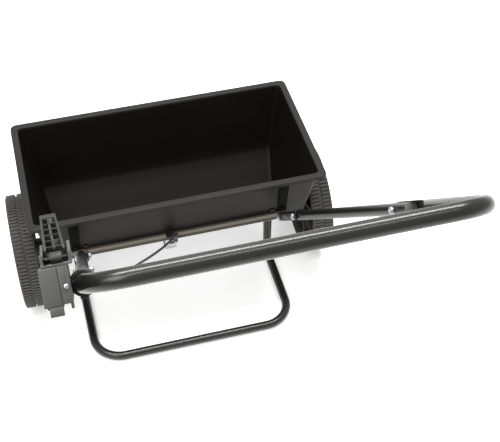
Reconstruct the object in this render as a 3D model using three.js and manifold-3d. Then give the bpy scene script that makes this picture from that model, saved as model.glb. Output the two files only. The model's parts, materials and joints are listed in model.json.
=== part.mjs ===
// Walk-behind drop spreader. Millimetres, +X to the operator's right, +Y forward, +Z up.
// Every piece is drawn in the axle frame (origin on the wheel axis, midway between the
// wheels) and moved at the end so that the origin is the bottom centre of the whole object.
import * as THREE from 'three';
import { mergeVertices } from 'three/addons/utils/BufferGeometryUtils.js';
import Module from 'manifold-3d';

const wasm = await Module();
wasm.setup();

// ---------------------------------------------------------------- driving dimensions
const FIT = 0.3;              // clearance between pieces that touch
const WHEEL_DIA = 254;
const WHEEL_WIDTH = 47;
const WHEEL_HUB_DIA = 44;
const AXLE_DIA = 12.7;
const HOPPER_LENGTH = 620;    // over the rim, left to right
const HOPPER_DEPTH = 328;     // over the rim, front to back
const HOPPER_MID_Y = -4;      // middle of the rim, from the axle
const RIM_Z = 228;            // rim top above the axle
const RIM_FLANGE = 12;
const RIM_LIP = 9;
const RIM_CORNER = 14;
const WALL = 3;
const DRAFT = 0.175;          // lean of the upper walls, mm per mm
const REAR_CREASE_Z = 108;
const FRONT_CREASE_Z = 68;
const FLOOR_Z = -19;          // underside of the floor, from the axle
const FLOOR_REAR_Y = -20;
const FLOOR_FRONT_Y = 32;
const DROP_LENGTH = 14;       // each drop hole, along x
const DROP_WIDTH = 6;
const SHUTTER_TRAVEL = 8;
const SHUTTER_THICK = 2;
const TUBE_DIA = 19;          // lower handle tubes and stand
const TUBE_WALL = 1.4;
const GRIP_DIA = 22.2;        // upper handle tube
const GRIP_CLEAR = 0.4;       // radial play of a lower tube inside the upper one
const GRIP_HALF = HOPPER_LENGTH / 2 - 75.5;  // handle leg axis from the centre plane
const GRIP_REACH = 912.3;     // crossbar axis behind the axle
const GRIP_RISE = 894.7;      // crossbar axis above the axle
const GRIP_BEND = 55;
const KNEE_HALF = HOPPER_LENGTH / 2 - 94.1;  // a second point on the leg, by the hopper
const KNEE_REACH = 256.3;
const KNEE_RISE = 222.5;
const JOINT_S = 337;        // joint centre, measured down the leg from the crossbar
const SADDLE_ABOVE = 127;
const SADDLE_BELOW = 10;
const LOWER_ABOVE = 47;       // lower tube's top end above the joint centre
const LOWER_BELOW_KNEE = 128;
const STAND_REACH = 251.9;
const STAND_HALF = HOPPER_LENGTH / 2 - 91.2;
const STAND_UPRIGHT_Y = -39;
const STAND_CORNER = 60;
const STAND_TOE = 38;
const STRAP_X = HOPPER_LENGTH / 2 - 89.3;
const STRAP_WIDTH = 20;
const STEEL = 2;              // sheet thickness of straps and rail
const BOLT_DIA = 6;
const LEVER_LENGTH = 170;
const LEVER_PITCH = 14.7;
const LEVER_LEAN = 0.031;      // outboard lean of the lever, mm per mm
const LEVER_RIBS = 6;     // degrees between lever and leg
const CABLE_DIA = 4.6;

// ---------------------------------------------------------------- colours
const PLASTIC_BLACK = 0x1b1b1b;
const PLASTIC_GREY = 0x6b6c6a;
const PLASTIC_DARK = 0x4a4a48;
const PAINT_BLACK = 0x151515;
const ZINC = 0xb9bcbf;
const RUBBER_BLACK = 0x101010;

// ---------------------------------------------------------------- small helpers
const V = (x, y, z) => new THREE.Vector3(x, y, z);
const X = V(1, 0, 0);
const Y = V(0, 1, 0);
const Z = V(0, 0, 1);

function solid(geometry) {
  const g = geometry.clone();
  g.deleteAttribute('normal');
  g.deleteAttribute('uv');
  const m = mergeVertices(g, 1e-4);
  return new wasm.Manifold(new wasm.Mesh({
    numProp: 3,
    vertProperties: new Float32Array(m.attributes.position.array),
    triVerts: new Uint32Array(m.index.array),
  }));
}

function geometryOf(manifold) {
  const m = manifold.getMesh();
  const g = new THREE.BufferGeometry();
  g.setAttribute('position', new THREE.BufferAttribute(new Float32Array(m.vertProperties), 3));
  g.setIndex(new THREE.BufferAttribute(new Uint32Array(m.triVerts), 1));
  return g;
}

const join = (...solids) => solids.reduce((a, b) => a.add(b));
const cut = (body, ...tools) => tools.reduce((a, b) => a.subtract(b), body);

function box(x0, x1, y0, y1, z0, z1) {
  const g = new THREE.BoxGeometry(Math.abs(x1 - x0), Math.abs(y1 - y0), Math.abs(z1 - z0));
  g.translate((x0 + x1) / 2, (y0 + y1) / 2, (z0 + z1) / 2);
  return solid(g);
}

// A matrix whose local +Z points along dir and whose origin is at point.
function aim(point, dir) {
  const turn = new THREE.Quaternion().setFromUnitVectors(Z, dir.clone().normalize());
  return new THREE.Matrix4().compose(point, turn, V(1, 1, 1));
}

function rod(from, to, radius, sides = 16) {
  const dir = to.clone().sub(from);
  const g = new THREE.CylinderGeometry(radius, radius, dir.length(), sides);
  g.rotateX(Math.PI / 2);
  g.translate(0, 0, dir.length() / 2);
  g.applyMatrix4(aim(from, dir));
  return solid(g);
}

// Turned piece: profile of [radius, height] pairs that starts and ends on the axis.
function turned(profile, from, dir, sides = 24) {
  const g = new THREE.LatheGeometry(profile.map(([r, h]) => new THREE.Vector2(r, h)), sides);
  g.rotateX(Math.PI / 2);
  g.applyMatrix4(aim(from, dir));
  return solid(g);
}

// Flat plate: outline of [a, b] pairs extruded by thick along its local Z, then placed.
function plate(outline, thick, matrix) {
  const shape = new THREE.Shape(outline.map(([a, b]) => new THREE.Vector2(a, b)));
  const g = new THREE.ExtrudeGeometry(shape, { depth: thick, bevelEnabled: false });
  g.applyMatrix4(matrix);
  return solid(g);
}

// Path through given points, one section per point, mitred at the bends.
class SectionPath extends THREE.Curve {
  constructor(points) {
    super();
    this.list = points;
  }
  getPointAt(u, target = V(0, 0, 0)) {
    return target.copy(this.list[Math.round(u * (this.list.length - 1))]);
  }
  getTangentAt(u, target = V(0, 0, 0)) {
    const i = Math.round(u * (this.list.length - 1));
    const before = this.list[Math.max(i - 1, 0)];
    const here = this.list[i];
    const after = this.list[Math.min(i + 1, this.list.length - 1)];
    const incoming = here.clone().sub(before).normalize();
    const outgoing = after.clone().sub(here).normalize();
    return target.copy(incoming).add(outgoing).normalize();
  }
}

// Polyline with each inner corner replaced by an arc of the given radius.
function bend(points, radii, steps = 8) {
  const out = [points[0].clone()];
  for (let i = 1; i < points.length - 1; i += 1) {
    const a = points[i - 1].clone().sub(points[i]).normalize();
    const b = points[i + 1].clone().sub(points[i]).normalize();
    const half = a.angleTo(b) / 2;
    const centre = a.clone().add(b).normalize();
    centre.multiplyScalar(radii[i - 1] / Math.sin(half)).add(points[i]);
    const start = a.clone().multiplyScalar(radii[i - 1] / Math.tan(half)).add(points[i]);
    const spokeA = start.clone().sub(centre);
    const end = b.clone().multiplyScalar(radii[i - 1] / Math.tan(half)).add(points[i]);
    const axis = spokeA.clone().cross(end.clone().sub(centre)).normalize();
    const sweepAngle = Math.PI - 2 * half;
    for (let k = 0; k <= steps; k += 1) {
      out.push(spokeA.clone().applyAxisAngle(axis, sweepAngle * k / steps).add(centre));
    }
  }
  out.push(points[points.length - 1].clone());
  return out;
}

function bar(points, radius, segments = 8) {
  const ring = new THREE.Shape().absarc(0, 0, radius, 0, 2 * Math.PI, false);
  return solid(new THREE.ExtrudeGeometry(ring, {
    steps: points.length - 1,
    extrudePath: new SectionPath(points),
    bevelEnabled: false,
    curveSegments: segments,
  }));
}

// Same path with both ends lengthened, for cutting a bore clean through.
function longer(points, by) {
  const n = points.length;
  const first = points[0].clone().sub(points[1]).setLength(by).add(points[0]);
  const last = points[n - 1].clone().sub(points[n - 2]).setLength(by).add(points[n - 1]);
  return [first, ...points.slice(1, -1), last];
}

function tube(points, radius, wall, segments = 8) {
  return cut(bar(points, radius, segments), bar(longer(points, 2), radius - wall, segments));
}

// Rounded box drawn through several levels: each level gives z, x half length, y range, radius.
function loft(levels) {
  const r = 0.5;
  const shape = new THREE.Shape();
  shape.absarc(r, r, r, 0, Math.PI / 2, false);
  shape.absarc(-r, r, r, Math.PI / 2, Math.PI, false);
  shape.absarc(-r, -r, r, Math.PI, 1.5 * Math.PI, false);
  shape.absarc(r, -r, r, 1.5 * Math.PI, 2 * Math.PI, false);
  const steps = levels.length - 1;
  const g = new THREE.ExtrudeGeometry(shape, {
    depth: steps, steps, bevelEnabled: false, curveSegments: 2,
  });
  const p = g.attributes.position;
  for (let i = 0; i < p.count; i += 1) {
    const level = levels[Math.round(p.getZ(i))];
    const sx = Math.sign(p.getX(i));
    const sy = Math.sign(p.getY(i));
    const mid = (level.front + level.rear) / 2;
    const halfY = (level.front - level.rear) / 2;
    const ax = (Math.abs(p.getX(i)) - r) / r;
    const ay = (Math.abs(p.getY(i)) - r) / r;
    p.setXYZ(
      i,
      sx * (level.half - level.radius + ax * level.radius),
      mid + sy * (halfY - level.radius + ay * level.radius),
      level.z,
    );
  }
  return solid(g);
}

const group = new THREE.Group();

function add(name, manifold, colour) {
  const material = new THREE.MeshStandardMaterial({ color: colour, name });
  const mesh = new THREE.Mesh(geometryOf(manifold), material);
  mesh.name = name;
  group.add(mesh);
}

const SIDES = [['left', -1], ['right', 1]];

// ---------------------------------------------------------------- derived sizes
const WHEEL_R = WHEEL_DIA / 2;
const GROUND_Z = -WHEEL_R;
const AXLE_R = AXLE_DIA / 2;
const BORE_R = AXLE_R + FIT;
const TUBE_R = TUBE_DIA / 2;
const GRIP_R = GRIP_DIA / 2;
const GRIP_BORE = TUBE_R + GRIP_CLEAR;
const BOLT_R = BOLT_DIA / 2;
const RIM_REAR_Y = HOPPER_MID_Y - HOPPER_DEPTH / 2;
const RIM_FRONT_Y = HOPPER_MID_Y + HOPPER_DEPTH / 2;
const REAR_CREASE_Y = RIM_REAR_Y + RIM_FLANGE + DRAFT * (RIM_Z - REAR_CREASE_Z);
const FRONT_CREASE_Y = RIM_FRONT_Y - RIM_FLANGE - DRAFT * (RIM_Z - FRONT_CREASE_Z);
const WHEEL_X = HOPPER_LENGTH / 2 + 17;
const WHEEL_INNER = WHEEL_X - WHEEL_WIDTH / 2;

const between = (v, a, b) => a[1] + (b[1] - a[1]) * (v - a[0]) / (b[0] - a[0]);

// Outer faces of the hopper at a height z.
const endAt = (z) => HOPPER_LENGTH / 2 - RIM_FLANGE - DRAFT * (RIM_Z - z);
const rearAt = (z) => (z >= REAR_CREASE_Z
  ? between(z, [RIM_Z, RIM_REAR_Y + RIM_FLANGE], [REAR_CREASE_Z, REAR_CREASE_Y])
  : between(z, [REAR_CREASE_Z, REAR_CREASE_Y], [FLOOR_Z, FLOOR_REAR_Y]));
const frontAt = (z) => (z >= FRONT_CREASE_Z
  ? between(z, [RIM_Z, RIM_FRONT_Y - RIM_FLANGE], [FRONT_CREASE_Z, FRONT_CREASE_Y])
  : between(z, [FRONT_CREASE_Z, FRONT_CREASE_Y], [FLOOR_Z, FLOOR_FRONT_Y]));

// As many drop holes as the floor has room for, an odd number so that one is in the middle.
const DROP_COUNT = 2 * Math.floor((endAt(FLOOR_Z) - 24) / (2 * DROP_LENGTH)) + 1;

// Direction up the sloping rear wall below its crease, and that wall's outward normal.
const FUNNEL_UP = V(0, REAR_CREASE_Y - FLOOR_REAR_Y, REAR_CREASE_Z - FLOOR_Z).normalize();
const FUNNEL_OUT = V(0, -FUNNEL_UP.z, FUNNEL_UP.y);
const onFunnel = (x, z, off) => V(x, rearAt(z), z).addScaledVector(FUNNEL_OUT, off);

// ---------------------------------------------------------------- fasteners
// A bolt drawn along +Z: domed head below z = 0, shank up to the length.
function boltAt(point, dir, length) {
  const h = BOLT_R;
  return turned([
    [0, -h * 1.1], [h * 1.1, -h * 0.9], [h * 1.9, -h * 0.35], [h * 2.1, 0],
    [h, 0], [h, length], [0, length],
  ], point, dir, 12);
}

function nutAt(point, dir) {
  const across = BOLT_DIA * 1.02;
  const start = point.clone();
  const end = point.clone().addScaledVector(dir, BOLT_DIA * 0.8);
  const bore = rod(
    start.clone().addScaledVector(dir, -1),
    end.clone().addScaledVector(dir, 1),
    BOLT_R + 0.2,
    12,
  );
  return cut(rod(start, end, across, 6), bore);
}

const holeAt = (point, dir, length, r = BOLT_R + FIT) => rod(
  point.clone().addScaledVector(dir, -length),
  point.clone().addScaledVector(dir, length),
  r,
  12,
);

// ---------------------------------------------------------------- handle line
function leg(side) {
  const top = V(side * GRIP_HALF, -GRIP_REACH, GRIP_RISE);
  const knee = V(side * KNEE_HALF, -KNEE_REACH, KNEE_RISE);
  const down = knee.clone().sub(top).normalize();
  const up = V(0, -down.z, down.y).normalize();
  const kneeS = knee.distanceTo(top);
  const lateral = down.clone().cross(up).normalize();
  const at = (s, l = 0, n = 0) => top.clone().addScaledVector(down, s)
    .addScaledVector(lateral, l).addScaledVector(up, n);
  return { top, down, up, lateral, kneeS, at };
}
const LEGS = { '-1': leg(-1), 1: leg(1) };
const LOWER_END_S = LEGS[1].kneeS + LOWER_BELOW_KNEE;
const SADDLE_END_S = JOINT_S + SADDLE_BELOW;
const BRACKET_BOLTS = [LEGS[1].kneeS - 28, LEGS[1].kneeS + 96];

// ---------------------------------------------------------------- hopper
{
  const outer = [FLOOR_Z, FRONT_CREASE_Z, REAR_CREASE_Z, RIM_Z - 1].map((z) => ({
    z, half: endAt(z), rear: rearAt(z), front: frontAt(z), radius: 12,
  }));
  const slopeWall = WALL / Math.abs(FUNNEL_OUT.y);
  const inner = [FLOOR_Z + WALL, FRONT_CREASE_Z, REAR_CREASE_Z, RIM_Z + 1].map((z, i) => ({
    z,
    half: endAt(z) - WALL,
    rear: rearAt(z) + (i === 0 ? slopeWall : WALL),
    front: frontAt(z) - (i === 0 ? slopeWall : WALL),
    radius: 9,
  }));
  const rimLevel = (z, inset) => ({
    z,
    half: HOPPER_LENGTH / 2 - inset,
    rear: RIM_REAR_Y + inset,
    front: RIM_FRONT_Y - inset,
    radius: RIM_CORNER - inset,
  });
  const flange = loft([rimLevel(RIM_Z - WALL, 0), rimLevel(RIM_Z, 0)]);
  const skirt = cut(
    loft([rimLevel(RIM_Z - RIM_LIP, 0), rimLevel(RIM_Z - WALL + 0.5, 0)]),
    loft([rimLevel(RIM_Z - RIM_LIP - 1, WALL - 0.5), rimLevel(RIM_Z, WALL - 0.5)]),
  );
  let shell = join(loft(outer), flange, skirt);
  for (const [, side] of SIDES) {
    shell = join(shell, rod(
      V(side * (endAt(0) - WALL), 0, 0), V(side * (endAt(0) + 6), 0, 0), AXLE_R + 11, 24,
    ));
  }
  shell = cut(shell, loft(inner));
  for (const [, side] of SIDES) {
    shell = join(shell, cut(
      rod(V(side * (endAt(0) - WALL - 2), 0, 0), V(side * (endAt(0) + 5), 0, 0), AXLE_R + 8, 24),
      rod(V(side * (endAt(0) - 20), 0, 0), V(side * (endAt(0) + 9), 0, 0), AXLE_R + 4, 24),
    ));
    shell = cut(shell, rod(
      V(side * (endAt(0) - 20), 0, 0), V(side * (endAt(0) + 9), 0, 0), AXLE_R + 4, 24,
    ));
  }
  for (let i = 0; i < DROP_COUNT; i += 1) {
    const x = (i - (DROP_COUNT - 1) / 2) * 2 * DROP_LENGTH;
    shell = cut(shell, box(
      x - DROP_LENGTH / 2, x + DROP_LENGTH / 2, 4, 4 + DROP_WIDTH, FLOOR_Z - 1, FLOOR_Z + WALL + 1,
    ));
  }
  for (const [, side] of SIDES) {
    shell = cut(
      shell,
      holeAt(strapBolt(side), Y, 30),
      holeAt(standBolt(side), FUNNEL_OUT, 8),
    );
  }
  add('hopper_shell', shell, PLASTIC_BLACK);
}

function strapBolt(side) {
  const z = REAR_CREASE_Z + 22;
  return V(side * STRAP_X, rearAt(z), z);
}

function standBolt(side) {
  return onFunnel(side * STAND_HALF, FLOOR_Z + 50, 0);
}

// ---------------------------------------------------------------- shutter under the floor
const SHUTTER_TOP = FLOOR_Z - FIT;
const SHUTTER_HALF = endAt(FLOOR_Z) - 12;
const TAB_X = -12;
const TAB_Y = -57;
{
  const top = SHUTTER_TOP;
  const low = top - SHUTTER_THICK;
  let shutter = box(-SHUTTER_HALF, SHUTTER_HALF, FLOOR_REAR_Y, FLOOR_FRONT_Y + 4, low, top);
  for (let i = 0; i < DROP_COUNT; i += 1) {
    const x = (i - (DROP_COUNT - 1) / 2) * 2 * DROP_LENGTH;
    shutter = cut(shutter, box(
      x - DROP_LENGTH / 2, x + DROP_LENGTH / 2,
      4 + SHUTTER_TRAVEL, 4 + SHUTTER_TRAVEL + DROP_WIDTH, low - 1, top + 1,
    ));
  }
  const tongue = box(TAB_X - 13, TAB_X + 13, TAB_Y - 1, FLOOR_REAR_Y + 1, low, top);
  const riser = box(TAB_X - 13, TAB_X + 13, TAB_Y - 1, TAB_Y + 1, low, 17.5);
  const slot = box(TAB_X - 2.2, TAB_X + 2.2, TAB_Y - 3, TAB_Y + 3, -7, 14.5);
  add('shutter_plate', join(shutter, tongue, cut(riser, slot)), ZINC);
  for (const [name, side] of SIDES) {
    const wall = box(
      side * (SHUTTER_HALF + FIT), side * (SHUTTER_HALF + 6),
      FLOOR_REAR_Y, FLOOR_FRONT_Y, low - 3, FLOOR_Z - FIT,
    );
    const lip = box(
      side * (SHUTTER_HALF - 10), side * (SHUTTER_HALF + 3),
      FLOOR_REAR_Y, FLOOR_FRONT_Y, low - 3, low - FIT,
    );
    add(`shutter_guide_${name}`, join(wall, lip), PAINT_BLACK);
  }
}

// ---------------------------------------------------------------- axle and agitator
{
  const end = WHEEL_X + WHEEL_WIDTH / 2 - 3.5;
  const pinX = WHEEL_INNER - 10;
  const pinHole = rod(V(pinX, 0, -30), V(pinX, 0, 30), 2.3, 12);
  add('axle', cut(rod(V(-end, 0, 0), V(end, 0, 0), AXLE_R, 20), pinHole), ZINC);
  add('drive_pin', rod(V(pinX, 0, -WHEEL_HUB_DIA / 2 - 3), V(pinX, 0, WHEEL_HUB_DIA / 2 + 3),
    2, 12), ZINC);
  const half = endAt(0) - 34;
  let agitator = rod(V(-half, 0, 0), V(half, 0, 0), AXLE_R + 2.6, 16);
  const reach = AXLE_R + 7.2;
  for (let i = 0; i < DROP_COUNT; i += 1) {
    const x = (i - (DROP_COUNT - 1) / 2) * Math.min(DROP_LENGTH * 1.86, 2 * half / DROP_COUNT);
    const a = i * Math.PI * 2 / 5;
    const tip = V(x, reach * Math.cos(a), reach * Math.sin(a));
    agitator = join(agitator, rod(V(x, 0, 0), tip, 2.4, 8));
  }
  agitator = cut(agitator, rod(V(-half - 1, 0, 0), V(half + 1, 0, 0), BORE_R, 20));
  add('agitator', agitator, PLASTIC_DARK);
}

for (const [name, side] of SIDES) {
  const face = endAt(0) + 6 + FIT;
  const out = V(side, 0, 0);
  const sleeve = rod(V(side * (face - 11), 0, 0), V(side * (face + 1), 0, 0), AXLE_R + 3.7, 24);
  const rim = rod(V(side * face, 0, 0), V(side * (face + 3), 0, 0), AXLE_R + 9, 24);
  const bore = rod(V(side * (face - 20), 0, 0), V(side * (face + 20), 0, 0), BORE_R, 20);
  add(`bearing_${name}`, cut(join(sleeve, rim), bore), PLASTIC_GREY);

  const spacerFrom = V(side * (face + 3 + FIT), 0, 0);
  const spacerTo = V(side * (WHEEL_INNER - 19 - FIT), 0, 0);
  add(`spacer_${name}`, cut(rod(spacerFrom, spacerTo, AXLE_R + 4, 20), bore), ZINC);

  // Wheel: barrel with two tread bands, recessed web with ribs, hub, all about the axle.
  const hubR = WHEEL_HUB_DIA / 2;
  const w = WHEEL_WIDTH;
  const barrel = WHEEL_R - 13;
  const profile = [
    [0, -19], [hubR, -19], [hubR + 2, w * 0.52], [barrel, w * 0.52], [barrel, 0],
    [WHEEL_R - 3, 0], [WHEEL_R, 2.5], [WHEEL_R, w / 2 - 2], [WHEEL_R - 3, w / 2 - 1],
    [WHEEL_R - 3, w / 2 + 1], [WHEEL_R, w / 2 + 2], [WHEEL_R, w - 2.5], [WHEEL_R - 3, w],
    [barrel, w], [barrel, w * 0.52 + 5], [hubR, w * 0.52 + 5], [hubR, w - 5 - FIT],
    [0, w - 5 - FIT],
  ];
  let wheel = turned(profile, V(side * WHEEL_INNER, 0, 0), out, 64);
  for (let i = 0; i < 8; i += 1) {
    const a = i * Math.PI / 4 + Math.PI / 8;
    const rib = new THREE.BoxGeometry(w * 0.4, barrel - hubR + 2, 4);
    rib.translate(side * (WHEEL_INNER + w * 0.34), (barrel + hubR) / 2, 0);
    rib.rotateX(a);
    wheel = join(wheel, solid(rib));
  }
  const through = rod(V(side * (WHEEL_INNER - 40), 0, 0), V(side * (WHEEL_X + 40), 0, 0),
    BORE_R, 20);
  wheel = cut(wheel, through);
  if (side > 0) {
    const x = WHEEL_INNER - 10;
    wheel = cut(wheel, rod(V(x, 0, -40), V(x, 0, 40), 2.3, 12));
  }
  add(`wheel_${name}`, wheel, PLASTIC_DARK);

  const capBase = WHEEL_INNER + w - 5;
  add(`hub_cap_${name}`, turned([
    [0, 2.2], [BORE_R, 2.2], [BORE_R, 0], [16, 0], [15, 2.6], [11, 4.4], [0, 5],
  ], V(side * capBase, 0, 0), out, 24), PAINT_BLACK);
}

// ---------------------------------------------------------------- straps, rail, tube brackets
const RAIL_Z0 = REAR_CREASE_Z - 6;
const RAIL_Z1 = REAR_CREASE_Z + 11;
const RAIL_FRONT = rearAt(RAIL_Z1) - STEEL * Math.hypot(1, DRAFT) - 2 * FIT;
{
  const half = STRAP_X + STRAP_WIDTH / 2 + 4;
  const web = box(-half, half, RAIL_FRONT - STEEL, RAIL_FRONT, RAIL_Z0, RAIL_Z1);
  const upper = box(-half, half, RAIL_FRONT - 6, RAIL_FRONT, RAIL_Z1 - STEEL, RAIL_Z1);
  const lower = box(-half, half, RAIL_FRONT - 6, RAIL_FRONT, RAIL_Z0, RAIL_Z0 + STEEL);
  let rail = join(web, upper, lower);
  for (const [, side] of SIDES) {
    const a = LEGS[side].at(0);
    const b = LEGS[side].at(LOWER_END_S + 4);
    rail = cut(rail, rod(a, b, TUBE_R + 0.8, 16));
  }
  add('cross_rail', rail, PAINT_BLACK);
}

for (const [name, side] of SIDES) {
  const L = LEGS[side];
  const slope = Math.hypot(1, DRAFT);
  const zTop = RIM_Z - RIM_LIP + 4;
  const zLow = REAR_CREASE_Z + 1;
  const lean = (z, off) => rearAt(z) - off;
  const outline = [
    [lean(zLow, FIT), zLow], [lean(zTop, FIT), zTop],
    [lean(zTop, FIT + STEEL * slope), zTop], [lean(zLow, FIT + STEEL * slope), zLow],
  ];
  const across = new THREE.Matrix4().makeBasis(Y, Z, X);
  const inner = side * STRAP_X - STRAP_WIDTH / 2;
  across.setPosition(inner, 0, 0);
  let strap = plate(outline, STRAP_WIDTH, across);
  strap = cut(strap, rod(L.at(0), L.at(LOWER_END_S + 4), TUBE_R + 0.8, 16));
  strap = cut(strap, holeAt(strapBolt(side), Y, 30));
  add(`strap_${name}`, strap, PAINT_BLACK);

  // Side plate between strap and tube, on the tube's inner side.
  const inward = L.lateral.clone().multiplyScalar(L.lateral.x * side > 0 ? -1 : 1);
  const sideOff = TUBE_R + FIT;
  const frame = new THREE.Matrix4().makeBasis(L.down, L.up, L.down.clone().cross(L.up));
  const origin = V(0, 0, 0).addScaledVector(inward, sideOff + (L.down.clone().cross(L.up)
    .dot(inward) > 0 ? 0 : STEEL * 1.5)).add(L.top);
  frame.setPosition(origin);
  const s0 = BRACKET_BOLTS[0] - 12;
  const s1 = BRACKET_BOLTS[1] + 12;
  let side_plate = plate([
    [s0, -8], [s1, -8], [s1, 9], [s0, 9],
  ], STEEL * 1.5, frame);
  for (const s of BRACKET_BOLTS) {
    side_plate = cut(side_plate, holeAt(L.at(s), inward, 40));
  }
  add(`tube_bracket_${name}`, side_plate, PAINT_BLACK);

  BRACKET_BOLTS.forEach((s, i) => {
    const head = L.at(s).addScaledVector(inward, -TUBE_R - FIT);
    const grip = 2 * TUBE_R + 2 * FIT + STEEL * 1.5 + FIT;
    add(`bracket_bolt_${name}_${i + 1}`, boltAt(head, inward, grip + 6.5), ZINC);
    add(`bracket_nut_${name}_${i + 1}`, nutAt(head.clone().addScaledVector(inward, grip + 0.1),
      inward), ZINC);
  });

  const sb = strapBolt(side);
  const out = V(0, -1, 0);
  const head = V(sb.x, sb.y - FIT - STEEL * slope - 1.2, sb.z);
  add(`strap_bolt_${name}`, boltAt(head, out.clone().negate(), 14), PAINT_BLACK);

  // Lower handle tube with its end plug.
  const sTop = JOINT_S - LOWER_ABOVE;
  let lower = tube([L.at(sTop), L.at(LOWER_END_S)], TUBE_R, TUBE_WALL);
  for (const s of [JOINT_S, ...BRACKET_BOLTS]) {
    lower = cut(lower, holeAt(L.at(s), inward, 40));
  }
  add(`lower_tube_${name}`, lower, PAINT_BLACK);
  const boreR = TUBE_R - TUBE_WALL - FIT;
  const plugHead = rod(L.at(sTop - 3), L.at(sTop - FIT), TUBE_R, 16);
  const plugStem = rod(L.at(sTop - 1), L.at(sTop + 12), boreR, 16);
  add(`tube_plug_${name}`, join(plugHead, plugStem), PLASTIC_GREY);

  const outside = L.at(JOINT_S).addScaledVector(inward, -GRIP_R - FIT);
  const grip = GRIP_R + TUBE_R + 2 * FIT;
  add(`joint_bolt_${name}`, boltAt(outside, inward, grip + 6.5), ZINC);
  add(`joint_nut_${name}`, nutAt(outside.clone().addScaledVector(inward, grip + 0.1), inward),
    ZINC);
}

// ---------------------------------------------------------------- upper handle
{
  const ends = [LEGS[-1].at(SADDLE_END_S), LEGS[1].at(SADDLE_END_S)];
  const path = bend([ends[0], LEGS[-1].top, LEGS[1].top, ends[1]], [GRIP_BEND, GRIP_BEND], 8);
  let handle = cut(bar(path, GRIP_R, 8), bar(longer(path, 2), GRIP_BORE, 8));
  for (const [, side] of SIDES) {
    const L = LEGS[side];
    const inward = L.lateral.clone().multiplyScalar(L.lateral.x * side > 0 ? -1 : 1);
    const s0 = JOINT_S - SADDLE_ABOVE;
    const frame = new THREE.Matrix4().makeBasis(L.down, inward, L.down.clone().cross(inward));
    frame.setPosition(L.top);
    const inner = plate([
      [s0, 40], [s0, 12], [s0 + 6, 8.5], [s0 + 16, 4.5], [s0 + 30, 1.5], [s0 + 45, 0],
      [SADDLE_END_S + 5, 0], [SADDLE_END_S + 5, 40],
    ], 60, frame.clone().multiply(new THREE.Matrix4().makeTranslation(0, 0, -30)));
    handle = cut(handle, inner, holeAt(L.at(JOINT_S), inward, 40));
  }
  add('upper_handle', handle, PAINT_BLACK);
}

// ---------------------------------------------------------------- ground stand
{
  const z = GROUND_Z + TUBE_R;
  const y = STAND_UPRIGHT_Y;
  const x = STAND_HALF;
  const corners = [V(-x, y, 20), V(-x, y, z), V(-x, -STAND_REACH, z), V(x, -STAND_REACH, z),
    V(x, y, z), V(x, y, 20)];
  const path = bend(corners, [STAND_TOE, STAND_CORNER, STAND_CORNER, STAND_TOE], 6);
  let stand = tube(path, TUBE_R, TUBE_WALL);
  const wallPoint = onFunnel(0, 0, 3.4);
  const above = aim(wallPoint, FUNNEL_OUT.clone().negate());
  const slab = new THREE.BoxGeometry(2 * x + 80, 200, 60);
  slab.translate(0, 0, 30);
  slab.applyMatrix4(above);
  stand = cut(stand, solid(slab));
  for (const [, side] of SIDES) {
    const foot = new THREE.BoxGeometry(30, 66, 3);
    const centre = standBolt(side).addScaledVector(FUNNEL_OUT, FIT + 1.9);
    const basis = new THREE.Matrix4().makeBasis(X, FUNNEL_UP, X.clone().cross(FUNNEL_UP));
    basis.setPosition(centre.addScaledVector(FUNNEL_UP, -12));
    foot.applyMatrix4(basis);
    stand = join(stand, solid(foot));
    stand = cut(stand, holeAt(standBolt(side), FUNNEL_OUT, 12));
  }
  add('stand', stand, PAINT_BLACK);
  for (const [name, side] of SIDES) {
    const inside = standBolt(side).addScaledVector(FUNNEL_OUT, -WALL - FIT - 0.4);
    add(`stand_bolt_${name}`, boltAt(inside, FUNNEL_OUT, 14), ZINC);
    add(`stand_nut_${name}`, nutAt(standBolt(side).addScaledVector(FUNNEL_OUT, 4.1),
      FUNNEL_OUT), ZINC);
  }
}

// ---------------------------------------------------------------- control on the left leg
// Local axes: l across (negative outboard), s down the leg, n away from the leg, upwards.
const C = LEGS[-1];
const acrossIn = C.lateral.x > 0 ? C.lateral : C.lateral.clone().negate();
const control = new THREE.Matrix4().makeBasis(acrossIn, C.down, acrossIn.clone().cross(C.down));
control.setPosition(C.top);
const CTRL_N = acrossIn.clone().cross(C.down).dot(C.up) > 0 ? 1 : -1;

function ctrlBox(l0, l1, s0, s1, n0, n1) {
  const g = new THREE.BoxGeometry(l1 - l0, s1 - s0, Math.abs(n1 - n0));
  g.translate((l0 + l1) / 2, (s0 + s1) / 2, CTRL_N * (n0 + n1) / 2);
  g.applyMatrix4(control);
  return solid(g);
}
const ctrlPoint = (l, s, n) => V(l, s, CTRL_N * n).applyMatrix4(control);

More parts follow.
